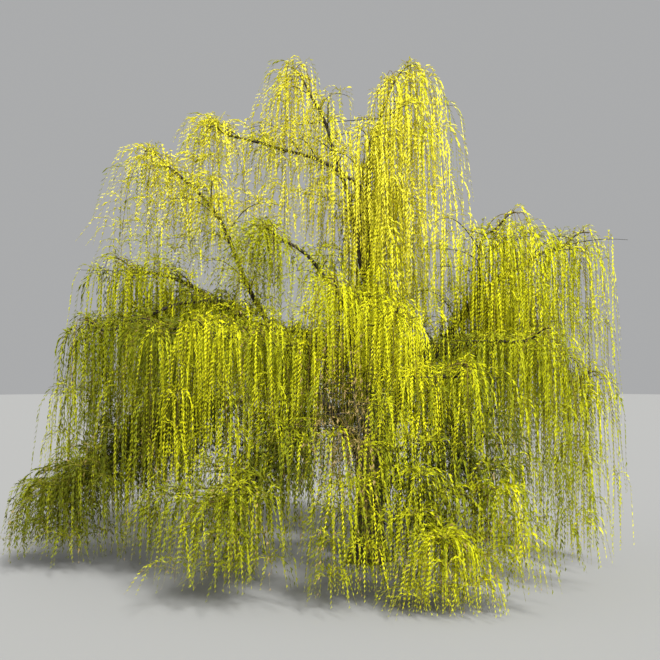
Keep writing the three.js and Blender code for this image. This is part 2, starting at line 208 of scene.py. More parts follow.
# Boughs
# The limbs of the fork and the boughs that leave them: tapering living wood under the same bark, each
# one crooked curve from inside its parent to its tip, where its stem carries on and arches over.
TIP_RADIUS = 0.026
LIMB_TAPER = 0.02
BOUGH_TAPER = 0.013
MOST_OF_PARENT = 0.72
COLLAR = 0.3
COLLAR_LENGTH = 0.22
FORK_COLLAR = 0.9
FORK_COLLAR_LENGTH = 0.35
BOUGH_POINTS = 34
STEM_POINTS = 9
STEM_END_RADIUS = 0.008
CROOK = 0.1
CROOK_LENGTH = 1.3
BOUGH_SIDES = 16
BOUGH_RELIEF = 0.22
BOUGH_GRAIN = (13.0, 13.0, 2.4)
ALONG_PARENT = 0.7
PULL_AT_START = 0.36
PULL_AT_TIP = 0.3
THINNING = 0.8
MASS_MIDDLE = 0.3
STEM_START = 0.22
STEM_OVER_RISE = 0.8
STEM_END = 0.62
UP = np.array([0.0, 0.0, 1.0])


def planned(name, parent, at, bearing, reach, height, slope, crest, spread, hem):
    """A row of the plan: where a bough leaves its parent and ends, and where its foliage hangs"""
    turn = math.radians(bearing)
    outward = np.array([math.cos(turn), math.sin(turn), 0.0])
    return dict(name=name, parent=parent, at=at, outward=outward, tip=outward * reach + UP * height,
                height=height, slope=slope, crest=crest, spread=spread, hem=hem)


PLAN = [
    # the five limbs of the fork
    planned("leader", "trunk", 1.0, 345, 0.43, 10.05, 2.5, 1.05, 1.15, 5.0),
    planned("left", "trunk", 0.86, 179, 5.0, 6.3, 0.15, 0.45, 1.1, 2.5),
    planned("right", "trunk", 0.92, 358, 4.15, 6.8, 0.25, 0.5, 1.0, 3.0),
    planned("front", "trunk", 0.88, 258, 3.25, 5.65, 0.3, 0.48, 0.95, 3.0),
    planned("back", "trunk", 0.9, 88, 3.9, 6.0, 0.2, 0.45, 1.15, 2.9),
    # the crown above
    planned("top_left", "leader", 0.4, 168, 1.3, 10.2, 1.8, 0.95, 0.95, 7.0),
    planned("upper_left", "leader", 0.72, 176, 3.1, 9.3, 0.35, 0.45, 0.95, 6.7),
    planned("upper_left_outer", "left", 0.42, 184, 4.3, 8.5, 0.5, 0.55, 0.9, 5.9),
    planned("middle_left", "leader", 0.26, 214, 2.25, 6.9, 0.3, 0.4, 0.95, 4.5),
    planned("top_back", "leader", 0.5, 80, 2.15, 8.3, 0.5, 0.45, 1.1, 4.9),
    # the left side, down to the low sprawl
    planned("left_outer", "left", 0.74, 187, 5.6, 5.0, -0.3, 0.35, 0.95, 1.5),
    planned("left_front", "left", 0.5, 208, 4.6, 5.0, -0.1, 0.35, 1.05, 0.7),
    planned("low_left", "left", 0.3, 188, 6.3, 1.65, -0.6, 0.15, 1.15, 0.4),
    planned("left_back", "left", 0.56, 152, 4.9, 5.6, -0.1, 0.4, 1.15, 0.9),
    # the tiers in front
    planned("front_tuft", "front", 0.45, 229, 4.75, 4.95, 0.15, 0.35, 0.75, 2.1),
    planned("front_left", "front", 0.55, 239, 3.95, 4.75, 0.1, 0.4, 0.8, 0.9),
    planned("front_dome", "front", 0.72, 276, 3.75, 5.1, 0.1, 0.45, 0.8, 2.7),
    planned("front_middle", "front", 0.6, 266, 4.75, 2.85, -0.5, 0.28, 0.85, 0.35),
    planned("front_low_left", "front", 0.3, 240, 5.3, 1.8, -0.5, 0.2, 1.0, 0.5),
    planned("front_low", "front_middle", 0.6, 281, 5.45, 1.25, -0.6, 0.2, 0.95, 0.08),
    # the right side
    planned("right_crest", "right", 0.66, 331, 2.9, 7.05, 0.4, 0.55, 0.95, 4.2),
    planned("right_low", "right", 0.5, 352, 4.35, 3.9, -0.3, 0.35, 0.9, 0.45),
    planned("right_front", "right", 0.4, 316, 4.2, 4.8, 0.05, 0.35, 0.95, 0.5),
    planned("front_right", "right", 0.25, 292, 4.05, 4.1, 0.05, 0.4, 0.85, 2.1),
    planned("low_right", "front_right", 0.55, 291, 5.3, 2.0, -0.5, 0.3, 0.85, 0.45),
    planned("right_back", "right", 0.55, 34, 4.2, 5.7, 0.0, 0.4, 1.15, 0.9),
    # the back
    planned("back_left", "back", 0.5, 116, 4.5, 5.0, 0.0, 0.35, 1.1, 0.7),
    planned("back_right", "back", 0.5, 62, 4.6, 4.5, 0.0, 0.35, 1.05, 0.5),
    planned("back_low", "back", 0.7, 93, 5.05, 2.6, -0.4, 0.25, 1.0, 0.35),
]


def unit(vector):
    return vector / np.linalg.norm(vector)


def bend(points, shares):
    """Places at shares of the way along a curve with four control points"""
    t = np.asarray(shares)[:, None]
    a, b, c, d = points
    return a * (1 - t) ** 3 + 3 * b * t * (1 - t) ** 2 + 3 * c * t * t * (1 - t) + d * t ** 3


def walk(path, share):
    """The place and the direction at a share of the length of a path of straight runs"""
    runs = np.diff(path, axis=0)
    reached = np.concatenate([[0], np.cumsum(np.linalg.norm(runs, axis=1))])
    distance = share * reached[-1]
    run = min(max(np.searchsorted(reached, distance) - 1, 0), len(runs) - 1)
    way = unit(runs[run])
    return path[run] + way * (distance - reached[run]), way


def lay_out(row):
    """Adds to a row the crooked path of its bough, its radius along it, and the path of its stem"""
    parent = boughs.get(row["parent"])
    if parent:
        start, along = walk(parent["path"], row["at"])
        widest = MOST_OF_PARENT * parent["radius"](row["at"])
    else:
        start, along = trunk_centre(FORK_HEIGHT * row["at"]), UP
        widest = math.inf
    tip, outward, spread = row["tip"], row["outward"], row["spread"]
    length = np.linalg.norm(tip - start)
    leaving = unit(unit(tip - start) + ALONG_PARENT * along)
    arriving = unit(outward + UP * row["slope"])
    shares = np.linspace(0, 1, BOUGH_POINTS)
    path = bend([start, start + leaving * PULL_AT_START * length, tip - arriving * PULL_AT_TIP * length,
                 tip], shares)
    for index, share in enumerate(shares):
        wander = np.array(noise.noise_vector(Vector(path[index] / CROOK_LENGTH)))
        path[index] += wander * CROOK * math.sin(math.pi * share) ** 0.5
    foot = min(TIP_RADIUS + length * (BOUGH_TAPER if parent else LIMB_TAPER), widest)
    row["path"] = path
    row["radius"] = lambda share: foot + (TIP_RADIUS - foot) * share ** THINNING
    row["middle"] = tip + outward * MASS_MIDDLE * spread
    crest = UP * row["crest"]
    row["stem"] = bend([tip, tip + arriving * STEM_START * spread,
                        tip + outward * MASS_MIDDLE * spread + STEM_OVER_RISE * crest,
                        tip + outward * STEM_END * spread + STEM_END * crest],
                       np.linspace(0, 1, STEM_POINTS))
    return row


boughs = {}
for row in PLAN:
    boughs[row["name"]] = lay_out(row)


def paths_mesh(name, paths, **traits):
    """A mesh of bare edges along paths, each with the traits of its points, for the nodes to work on"""
    places = np.concatenate(paths)
    sizes = np.array([len(path) for path in paths])
    starts = np.arange(len(places))
    edges = np.delete(np.stack([starts, starts + 1], axis=1), np.cumsum(sizes) - 1, axis=0)
    mesh = bpy.data.meshes.new(name)
    mesh.vertices.add(len(places))
    mesh.vertices.foreach_set("co", places.ravel())
    mesh.edges.add(len(edges))
    mesh.edges.foreach_set("vertices", edges.ravel())
    for trait, values in traits.items():
        values = np.concatenate(values)
        if values.ndim == 2:
            mesh.attributes.new(trait, "FLOAT_VECTOR", "POINT").data.foreach_set("vector", values.ravel())
        else:
            mesh.attributes.new(trait, "FLOAT", "POINT").data.foreach_set("value", values)
    thing = bpy.data.objects.new(name, mesh)
    bpy.context.scene.collection.objects.link(thing)
    return thing


def new_tree(name, sockets):
    """An empty geometry tree with these named inputs, and its group input and output nodes"""
    tree = bpy.data.node_groups.new(name, "GeometryNodeTree")
    for label, kind in sockets.items():
        tree.interface.new_socket(label, in_out="INPUT", socket_type="NodeSocket" + kind)
    tree.interface.new_socket("Grown", in_out="OUTPUT", socket_type="NodeSocketGeometry")
    given = tree.nodes.new("NodeGroupInput").outputs
    return tree, given, tree.nodes.new("NodeGroupOutput").inputs[0]


def grown(thing, tree, values, dropped=()):
    """Runs a geometry tree on an object and turns what comes out into its own plain mesh"""
    modifier = thing.modifiers.new(tree.name, "NODES")
    modifier.node_group = tree
    for item in tree.interface.items_tree:
        if item.in_out == "INPUT" and item.name in values:
            modifier[item.identifier] = values[item.name]
    evaluated = thing.evaluated_get(bpy.context.evaluated_depsgraph_get())
    made = bpy.data.meshes.new_from_object(evaluated)
    thing.modifiers.remove(modifier)
    thing.data = made
    made.name = thing.name
    for trait in dropped:
        if trait in made.attributes:
            made.attributes.remove(made.attributes[trait])
    return thing


limb_tree, given, result = new_tree("limb_along_path", {
    "Paths": "Geometry", "Sides": "Int", "Relief": "Float", "Bark": "Material"})
curves = node_in(limb_tree, "GeometryNodeMeshToCurve", {"Mesh": given["Paths"]})
measured = node_in(limb_tree, "GeometryNodeSplineParameter")
curves = node_in(limb_tree, "GeometryNodeStoreNamedAttribute", {
    "Geometry": curves.outputs[0], "Name": "along", "Value": measured.outputs["Length"]})
ring = node_in(limb_tree, "GeometryNodeCurvePrimitiveCircle", {"Resolution": given["Sides"], "Radius": 1.0})
ring = node_in(limb_tree, "GeometryNodeStoreNamedAttribute", {
    "Geometry": ring.outputs[0], "Name": "around", "Value": measured.outputs["Factor"]})
thickness = node_in(limb_tree, "GeometryNodeInputNamedAttribute", {"Name": "girth"}).outputs[0]
skin = node_in(limb_tree, "GeometryNodeCurveToMesh", {
    "Curve": curves.outputs[0], "Profile Curve": ring.outputs[0], "Scale": thickness, "Fill Caps": True})
around = node_in(limb_tree, "GeometryNodeInputNamedAttribute", {"Name": "around"}).outputs[0]
along = node_in(limb_tree, "GeometryNodeInputNamedAttribute", {"Name": "along"}).outputs[0]
turn = node_in(limb_tree, "ShaderNodeMath", {0: around, 1: 2 * math.pi}, operation="MULTIPLY").outputs[0]
sides = []
for operation in ("COSINE", "SINE"):
    share = node_in(limb_tree, "ShaderNodeMath", {0: turn}, operation=operation).outputs[0]
    sides.append(node_in(limb_tree, "ShaderNodeMath", {0: share, 1: thickness}, operation="MULTIPLY"))
grain = node_in(limb_tree, "ShaderNodeCombineXYZ", {
    "X": sides[0].outputs[0], "Y": sides[1].outputs[0], "Z": along}).outputs[0]
skin = node_in(limb_tree, "GeometryNodeStoreNamedAttribute", {
    "Geometry": skin.outputs[0], "Name": "grain", "Value": grain}, data_type="FLOAT_VECTOR")
stretched = node_in(limb_tree, "ShaderNodeVectorMath", {0: grain, 1: BOUGH_GRAIN},
                    operation="MULTIPLY").outputs[0]
waves = node_in(limb_tree, "ShaderNodeTexNoise", {"Vector": stretched, "Scale": 1.0, "Detail": 2.0})
swing = node_in(limb_tree, "ShaderNodeMath", {0: waves.outputs[0], 1: 0.5}, operation="SUBTRACT").outputs[0]
swing = node_in(limb_tree, "ShaderNodeMath", {0: swing, 1: given["Relief"]}, operation="MULTIPLY").outputs[0]
swing = node_in(limb_tree, "ShaderNodeMath", {0: swing, 1: thickness}, operation="MULTIPLY").outputs[0]
facing = node_in(limb_tree, "GeometryNodeInputNormal").outputs[0]
shift = node_in(limb_tree, "ShaderNodeVectorMath", {0: facing, "Scale": swing}, operation="SCALE").outputs[0]
skin = node_in(limb_tree, "GeometryNodeSetPosition", {"Geometry": skin.outputs[0], "Offset": shift})
skin = node_in(limb_tree, "GeometryNodeRealizeInstances", {"Geometry": skin.outputs[0]})
skin = node_in(limb_tree, "GeometryNodeSetMaterial", {"Geometry": skin.outputs[0], "Material": given["Bark"]})
limb_tree.links.new(skin.outputs[0], result)

limb_paths, limb_radii = [], []
for bough in boughs.values():
    shares = np.linspace(0, 1, BOUGH_POINTS)
    length = np.linalg.norm(np.diff(bough["path"], axis=0), axis=1).sum()
    if bough["parent"] == "trunk":
        collar = 1 + FORK_COLLAR * np.exp(-shares * length / FORK_COLLAR_LENGTH)
    else:
        collar = 1 + COLLAR * np.exp(-shares * length / COLLAR_LENGTH)
    stem_shares = np.linspace(0, 1, STEM_POINTS)[1:]
    limb_paths.append(np.concatenate([bough["path"], bough["stem"][1:]]))
    limb_radii.append(np.concatenate([
        [bough["radius"](share) for share in shares] * collar,
        TIP_RADIUS + (STEM_END_RADIUS - TIP_RADIUS) * stem_shares]))
limbs = paths_mesh("bough_bark", limb_paths, girth=limb_radii)
grown(limbs, limb_tree, {"Sides": BOUGH_SIDES, "Relief": BOUGH_RELIEF, "Bark": bark},
      dropped=("girth", "along", "around"))
limbs.data.shade_smooth()
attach(limbs, "root")
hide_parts(*("bough_" + name for name in boughs))

# Side branches
# Thinner branches all round the outer part of every limb and bough, of the same wood. Each springs
# sideways or up from the bough and bows over at its end under the weight of its shoots.
BRANCH_FROM = 0.3
BRANCH_SPACING = 0.25
BRANCH_LENGTH = 1.35
BRANCH_RADIUS = 0.014
BRANCH_END_RADIUS = 0.004
BRANCH_POINTS = 9
BRANCH_SIDES = 6
BRANCH_RISE = 0.3
BRANCH_FORWARD = (0.2, 0.9)
BRANCH_LENGTHS = (0.55, 1.1)
FLATTER_END = np.array([1, 1, 0.2])
BELOW_CREST, ABOVE_CREST, ABOVE_BY_CREST = 0.8, 0.2, 0.6
# how much longer, and how much closer together, the side branches of these boughs are
WIDER_BRANCHING = {"leader": (1.25, 1.0), "right_crest": (1.25, 1.8), "right": (1.15, 1.8),
                   "left": (1.1, 1.5), "low_left": (1.2, 1.6), "left_front": (1.2, 1.2),
                   "left_back": (1.3, 1.7), "back_left": (1.35, 1.6), "front_low_left": (1.3, 1.5),
                   "right_back": (1.3, 1.5), "back_right": (1.3, 1.5),
                   "front_low": (1.3, 1.4), "front_middle": (1.3, 1.4)}
GOLDEN_TURN = math.pi * (3 - math.sqrt(5))
FIRST_SEED = 11

branches = []
for number, bough in enumerate(boughs.values()):
    chance = np.random.default_rng(FIRST_SEED + 100 + number)
    length = np.linalg.norm(np.diff(bough["path"], axis=0), axis=1).sum()
    wider, closer = WIDER_BRANCHING.get(bough["name"], (1.0, 1.0))
    count = int(length * (1 - BRANCH_FROM) / BRANCH_SPACING * closer)
    for index in range(count):
        at = BRANCH_FROM + (1 - BRANCH_FROM) * (index + chance.uniform(0.2, 0.8)) / count
        start, way = walk(bough["path"], at)
        across = unit(np.cross(way, UP))
        over = np.cross(across, way)
        side = across * math.cos(index * GOLDEN_TURN) + over * math.sin(index * GOLDEN_TURN)
        side[2] = abs(side[2])
        heading = unit(side + way * chance.uniform(*BRANCH_FORWARD) + UP * BRANCH_RISE * chance.uniform(0, 1))
        reach = BRANCH_LENGTH * wider * chance.uniform(*BRANCH_LENGTHS)
        level = unit(heading * FLATTER_END)
        path = bend([start, start + heading * 0.4 * reach, start + heading * 0.75 * reach,
                     start + level * reach + UP * 0.1 * reach], np.linspace(0, 1, BRANCH_POINTS))
        above = ABOVE_CREST + ABOVE_BY_CREST * bough["crest"]
        highest = bough["height"] + chance.uniform(-BELOW_CREST, above)
        rise, allowed = path[:, 2].max() - start[2], max(highest - start[2], 0)
        if rise > allowed:
            path[:, 2] = start[2] + (path[:, 2] - start[2]) * allowed / rise
        branches.append(dict(bough=bough, path=path, chance=chance))
thinning = np.linspace(BRANCH_RADIUS, BRANCH_END_RADIUS, BRANCH_POINTS)
side_branches = paths_mesh("side_branches", [branch["path"] for branch in branches],
                           girth=[thinning] * len(branches))
grown(side_branches, limb_tree, {"Sides": BRANCH_SIDES, "Relief": 0.0, "Bark": bark},
      dropped=("girth", "along", "around"))
side_branches.data.shade_smooth()
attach(side_branches, "root")

# Hanging twigs
# The older twigs of each mass: thin brown wood that leaves the stem, arches over and hangs to the hem.
# Their ends lie on an even spiral round the middle of the mass, and the leafy shoots grow on them.
TWIG_SPACING = 0.17
TWIG_POINTS = 12
TWIG_RADIUS = 0.009
TWIG_END_RADIUS = 0.003
TWIG_SIDES = 4
TWIG_RAGGED = 0.22
SHOULDER_FALL = 0.9
OVER_SHOULDER = 0.28
OVER_OUT = 0.45
DOWN_FROM_SHOULDER = 0.12
TWIG_BROWN = "#5c4a22"
TWIG_GOLD = "#8f7a2a"


def twig_path(bough, turn, share, end_height, chance):
    """A twig of a mass: off the stem, over its shoulder, and down to its place on the spiral"""
    root, _ = walk(bough["stem"], 0.25 + 0.72 * chance.random())
    ring = bough["spread"] * math.sqrt(share)
    end = bough["middle"] + ring * np.array([math.cos(turn), math.sin(turn), 0])
    end[2] = end_height
    shoulder = bough["height"] + bough["crest"] * (1 - SHOULDER_FALL * share)
    over = root + (end - root) * OVER_OUT
    over[2] = max(root[2], shoulder) + OVER_SHOULDER * bough["crest"]
    down = end.copy()
    down[2] = shoulder + (end_height - shoulder) * DOWN_FROM_SHOULDER
    return bend([root, over, down, end], np.linspace(0, 1, TWIG_POINTS) ** 1.15)


twig_wood, tree, shader = new_finish("twig_wood")
place = node_in(tree, "ShaderNodeTexCoord").outputs["Object"]
mottle = node_in(tree, "ShaderNodeTexNoise", {"Vector": place, "Scale": 22.0, "Detail": 3.0})
twig_tones = node_in(tree, "ShaderNodeValToRGB", {"Fac": mottle.outputs[0]})
twig_tones.color_ramp.elements[0].position = 0.35
twig_tones.color_ramp.elements[0].color = colour(TWIG_BROWN)
twig_tones.color_ramp.elements[1].position = 0.65
twig_tones.color_ramp.elements[1].color = colour(TWIG_GOLD)
tree.links.new(twig_tones.outputs[0], shader.inputs["Base Color"])
shader.inputs["Roughness"].default_value = 0.6

twigs = []
for number, bough in enumerate(boughs.values()):
    chance = np.random.default_rng(FIRST_SEED + number)
    first_turn = chance.uniform(0, 2 * math.pi)
    count = round(bough["spread"] / TWIG_SPACING)
    drop = bough["height"] + bough["crest"] - bough["hem"]
    for index in range(count):
        share = (index + 0.6) / count
        end_height = bough["hem"] + drop * TWIG_RAGGED * chance.random() ** 2
        path = twig_path(bough, first_turn + index * GOLDEN_TURN, share, end_height, chance)
        twigs.append(dict(bough=bough, path=path, chance=chance))
thinning = np.linspace(TWIG_RADIUS, TWIG_END_RADIUS, TWIG_POINTS)
hanging = paths_mesh("hanging_twigs", [twig["path"] for twig in twigs], girth=[thinning] * len(twigs))
grown(hanging, limb_tree, {"Sides": TWIG_SIDES, "Relief": 0.0, "Bark": twig_wood},
      dropped=("girth", "along", "around", "grain"))
hanging.data.shade_smooth()
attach(hanging, "root")

# Leafy shoots
# Last year's growth: whips of golden wood, a few millimetres thick, in tufts along twigs, side branches
# and stems, and along the boughs inside the crown. Each springs up and outwards, arches over and hangs.
SHOOT_SHARES = np.array([0, 0.12, 0.28, 0.55, 1])
SHORT_SHOOT_SHARES = np.array([0, 0.15, 0.42, 1])
SHORT_SHOOT = 0.9
SHOOT_RADIUS = 0.0034
SHOOT_END_RADIUS = 0.0014
SHOOT_SIDES = 3
TUFT_SHOOTS = 5.3
TUFT_SPACING = 0.6
TUFT_REACH = 0.5
TUFT_LIFT = 0.24
TUFT_LEAN = 0.4
SWAY = 0.035
LEAST_CLEARANCE = 0.14
REACH_MARGIN = 0.12
# painted shade: tufts on the side of a mass towards the trunk get darker leaf tints, less so high in the open
# crown, and shoots low and well inside it the darkest
SHADE_INSIDE = 0.25
OPEN_CROWN_FROM = 7.0
OPEN_CROWN_TO = 4.0
SHADE_FROM, SHADE_TO = 0.6, -1.2
INNER_BELOW = 3.7
HOLLOWS = [((-0.6, -3.9, 3.0), (0.55, 1.7, 0.8))]
DRY_IN_HOLLOW = 0.25
FACING_UP = 0.7
FACING_OUT = 0.3
TUFT_UNEVEN = (0.75, 1.25)
LIFTS = (0.4, 1.6)
LONGEST = 1.25
LEAST_DROP = 0.35
HEM_RAGGED = 0.25
SWAY_TURNS = 5
SPRAY_VARIES = 0.12
TUFT_VARIES = 0.1
WELL_INSIDE = -0.7
SHOOT_GOLD = "#a3921f"
SHOOT_GREEN = "#8a8a1c"


def foliage(painted_light_tone, length, fullness, throw=1.0, dry=0.0, lower=0.0, shortest=0.7):
    """How a mass looks: its painted light, from 0 shaded to 1 sunlit, the length of its shoots, how full its
    tufts are and how far they throw, the share of its shoots that are still dry from the year before, how far
    below the hem of its mass they hang, and the shortest of them as a share of that length"""
    return dict(painted_light_tone=painted_light_tone, length=length, fullness=fullness, throw=throw, dry=dry, lower=lower,
                shortest=shortest)


# The first value of each mass is painted light: sunlit masses in front and at the top get lighter leaf tints,
# shaded ones on the left, at the back and low down darker ones.
MASS_LOOKS = {
    "leader": foliage(0.95, 2.0, 2.35, 1.15),
    "left": foliage(0.62, 1.8, 1.4),
    "right": foliage(0.74, 2.1, 1.2, 1.25),
    "front": foliage(0.84, 1.5, 1.3),
    "back": foliage(0.5, 1.9, 1.25, 1.15),
    "top_left": foliage(0.95, 1.2, 1.2, 1.2, shortest=0.4),
    "upper_left": foliage(0.86, 0.75, 1.2, 1.3, shortest=0.3),
    "upper_left_outer": foliage(0.8, 0.7, 1.2, 1.3, shortest=0.3),
    "middle_left": foliage(0.6, 1.0, 1.3, 1.3, shortest=0.4),
    "top_back": foliage(0.6, 1.6, 1.0),
    "left_outer": foliage(0.42, 1.8, 1.8, dry=0.03),
    "left_front": foliage(0.34, 1.8, 1.9, 1.1, dry=0.06, lower=0.2),
    "low_left": foliage(0.29, 0.95, 2.1, 1.6, dry=0.05),
    "left_back": foliage(0.58, 2.9, 1.6, 1.2),
    "front_tuft": foliage(0.76, 1.1, 1.6, 0.8),
    "front_left": foliage(0.6, 1.4, 1.4, 0.9, dry=0.05, lower=0.3),
    "front_dome": foliage(1.0, 1.4, 1.5, 1.1),
    "front_middle": foliage(0.55, 1.0, 2.2, 1.25, dry=0.05),
    "front_low_left": foliage(0.42, 0.92, 1.5, 1.5, dry=0.08),
    "front_low": foliage(0.66, 0.85, 2.4, 1.35, dry=0.08),
    "right_crest": foliage(0.8, 1.9, 1.3, 1.35),
    "right_low": foliage(0.56, 2.1, 1.35),
    "right_front": foliage(0.62, 1.8, 1.35),
    "front_right": foliage(0.64, 1.4, 1.2),
    "low_right": foliage(0.53, 1.0, 1.5, 1.2, dry=0.05),
    "right_back": foliage(0.5, 2.8, 1.4, 1.15),
    "back_left": foliage(0.48, 2.8, 1.5, 1.25),
    "back_right": foliage(0.48, 2.6, 1.4, 1.25),
    "back_low": foliage(0.5, 1.3, 1.2, 1.4),
}


def grow_tuft(twig, at, looks):
    """The shoots that spring from a twig at one place on it: a path and the way that its leaves face"""
    chance, bough = twig["chance"], twig["bough"]
    count = max(round(TUFT_SHOOTS * looks["fullness"] * chance.uniform(*TUFT_UNEVEN)), 3)
    turns = chance.uniform(0, 2 * math.pi) + GOLDEN_TURN * np.arange(count)
    head, _ = walk(twig["path"], at)
    shoots = []
    for turn in turns:
        root, _ = walk(twig["path"], min(max(at + chance.normal(0, 0.02), 0.03), 0.97))
        way = np.array([math.cos(turn), math.sin(turn), 0]) + TUFT_LEAN * bough["outward"]
        throw = TUFT_REACH * looks["throw"] * (0.25 + 0.75 * math.sqrt(chance.random()))
        length = looks["length"] * chance.uniform(looks["shortest"], LONGEST)
        lift = TUFT_LIFT * chance.uniform(*LIFTS)
        end = root + way * throw + 0.05 * chance.normal(0, 1, 3)
        hem = bough["hem"] - looks["lower"] + HEM_RAGGED * looks["length"] * chance.random() ** 2
        end[2] = max(root[2] - length, min(hem, root[2] - LEAST_DROP * length), LEAST_CLEARANCE)
        over = root + way * throw * 0.5 + UP * lift * 1.6
        down = end.copy()
        down[2] = root[2] - 0.12 * (root[2] - end[2])
        shares = SHOOT_SHARES if length > SHORT_SHOOT else SHORT_SHOOT_SHARES
        path = bend([root, over, down, end], shares)
        wave = chance.uniform(0, 2 * math.pi, 2) + SWAY_TURNS * shares[:, None]
        path[:, :2] += SWAY * shares[:, None] * np.sin(wave)
        path[:, 2] = np.maximum(path[:, 2], LEAST_CLEARANCE)
        shoots.append((path, unit(way + FACING_OUT * bough["outward"] + UP * FACING_UP)))
    return head, shoots


def in_hollow(path):
    """Whether a shoot would hang across one of the dark hollows that the crown opens towards the front"""
    places = np.concatenate([path + (np.roll(path, -1, axis=0) - path) * part for part in (0, 0.33, 0.67)])
    return any((np.linalg.norm((places - middle) / np.array(size), axis=1) < 1).any()
               for middle, size in HOLLOWS)


reach_low = np.array(cad_box[0]) - REACH_MARGIN
reach_high = np.array(cad_box[1]) + REACH_MARGIN
stems = [dict(bough=bough, path=bough["stem"], chance=np.random.default_rng(FIRST_SEED + 200 + number))
         for number, bough in enumerate(boughs.values())]
inner_wood = [dict(bough=bough, path=bough["path"][BOUGH_POINTS // 3:], inside=True,
                   chance=np.random.default_rng(FIRST_SEED + 300 + number))
              for number, bough in enumerate(boughs.values())]
sprays = []
for twig in twigs + branches + stems + inner_wood:
    bough, chance = twig["bough"], twig["chance"]
    looks = MASS_LOOKS[bough["name"]]
    twig_length = np.linalg.norm(np.diff(twig["path"], axis=0), axis=1).sum()
    tiers = max(round(twig_length / (TUFT_SPACING * looks["length"])), 2)
    for tier in range(tiers):
        head, shoots = grow_tuft(twig, (tier + 0.5) / tiers, looks)
        outside = np.dot(head - bough["tip"], bough["outward"]) / bough["spread"]
        # painted shade: a tuft on the side of its mass towards the trunk, lower in the crown, is given a
        # darker leaf tint
        shade = SHADE_INSIDE * smooth_step(outside, SHADE_FROM, SHADE_TO)
        shade *= smooth_step(head[2], OPEN_CROWN_FROM, OPEN_CROWN_TO)
        painted_light_tone = looks["painted_light_tone"] + chance.normal(0, TUFT_VARIES) - shade
        # shoots low and well inside the crown, or on the boughs there, take the darkest leaf tint, painted
        # deep shade
        inner = head[2] < INNER_BELOW and (outside < WELL_INSIDE or "inside" in twig)
        if "inside" in twig and not inner:
            continue
        for path, facing in shoots:
            dry = chance.random() < looks["dry"]
            if in_hollow(path):
                if chance.random() > DRY_IN_HOLLOW:
                    continue
                dry = True
            if (path > reach_low).all() and (path < reach_high).all():
                sprays.append(dict(path=path, facing=facing, dry=dry, inner=inner, bough=bough,
                                   painted_light_tone=painted_light_tone + chance.normal(0, SPRAY_VARIES)))

shoot_wood, tree, shader = new_finish("shoot_wood")
place = node_in(tree, "ShaderNodeTexCoord").outputs["Object"]
mottle = node_in(tree, "ShaderNodeTexNoise", {"Vector": place, "Scale": 9.0, "Detail": 2.0})
shoot_tones = node_in(tree, "ShaderNodeValToRGB", {"Fac": mottle.outputs[0]})
shoot_tones.color_ramp.elements[0].position = 0.35
shoot_tones.color_ramp.elements[0].color = colour(SHOOT_GOLD)
shoot_tones.color_ramp.elements[1].position = 0.65
shoot_tones.color_ramp.elements[1].color = colour(SHOOT_GREEN)
tree.links.new(shoot_tones.outputs[0], shader.inputs["Base Color"])
shader.inputs["Roughness"].default_value = 0.5


def split_evenly(things, most):
    parts = math.ceil(len(things) / most)
    return [things[part::parts] for part in range(parts)]


MOST_SHOOTS_A_PIECE = 6000
for part, group in enumerate(split_evenly(sprays, MOST_SHOOTS_A_PIECE)):
    whips = paths_mesh(f"golden_shoots_{part + 1}", [spray["path"] for spray in group],
                       girth=[np.linspace(SHOOT_RADIUS, SHOOT_END_RADIUS, len(spray["path"]))
                               for spray in group])
    grown(whips, limb_tree, {"Sides": SHOOT_SIDES, "Relief": 0.0, "Bark": shoot_wood},
          dropped=("girth", "along", "around", "grain"))
    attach(whips, "root")

# Leaves
# Willow leaves, thin blades folded a little along the midrib, in pairs that point down their shoot and
# face outwards. They are larger than life, most of all in the shade, where fewer and larger ones stand
# for many. All leaves of a shoot have one tint. The tints are one leaf colour with the light and shade
# painted in: lighter where the crown is sunlit, darker inside it and on its shaded sides.
LEAF_LENGTH = 0.09
LEAF_HALF_WIDTH = 0.0125
LEAF_WIDEST = 0.42
LEAF_FOLD = 0.006
PAIR_PITCH = 0.084
PAIR_SPLAYS = (0.26, -0.22)
PAIR_BOWS = (0.15, -0.12)
PAIR_STEP = 0.036
PAIR_ROLL = 1.0
LEAF_SIZES = (0.65, 1.2)
PALE_ABOVE = 7.2
# painted light and shade: pale, for well-lit shoots high in the open crown, and sunlit are painted full
# sunlight; lime, spring and olive step down to moss, painted shade; the darkest tint, for shoots low inside
# the crown, is painted deep shade; straw is the own colour of dry leaves
# each tint's colour, how much its leaves and their spacing are enlarged, and the shoots that take it
TINTS = {
    "straw": ("#a8905a", 1.0, lambda spray: spray["dry"]),
    "inner": ("#4d540d", 1.75, lambda spray: spray["inner"]),
    "pale": ("#f0e83a", 1.1, lambda spray: spray["path"][0][2] > PALE_ABOVE and spray["painted_light_tone"] > 0.72),
    "sunlit": ("#dfdc16", 0.95, lambda spray: spray["painted_light_tone"] > 0.82),
    "lime": ("#c7c911", 1.0, lambda spray: spray["painted_light_tone"] > 0.62),
    "spring": ("#a7aa0f", 1.08, lambda spray: spray["painted_light_tone"] > 0.44),
    "olive": ("#7f860b", 1.35, lambda spray: spray["painted_light_tone"] > 0.26),
    "moss": ("#5d640a", 1.55, lambda spray: True),
}
MOST_PAIRS_A_PIECE = 47000
DRY_THINNING = 3

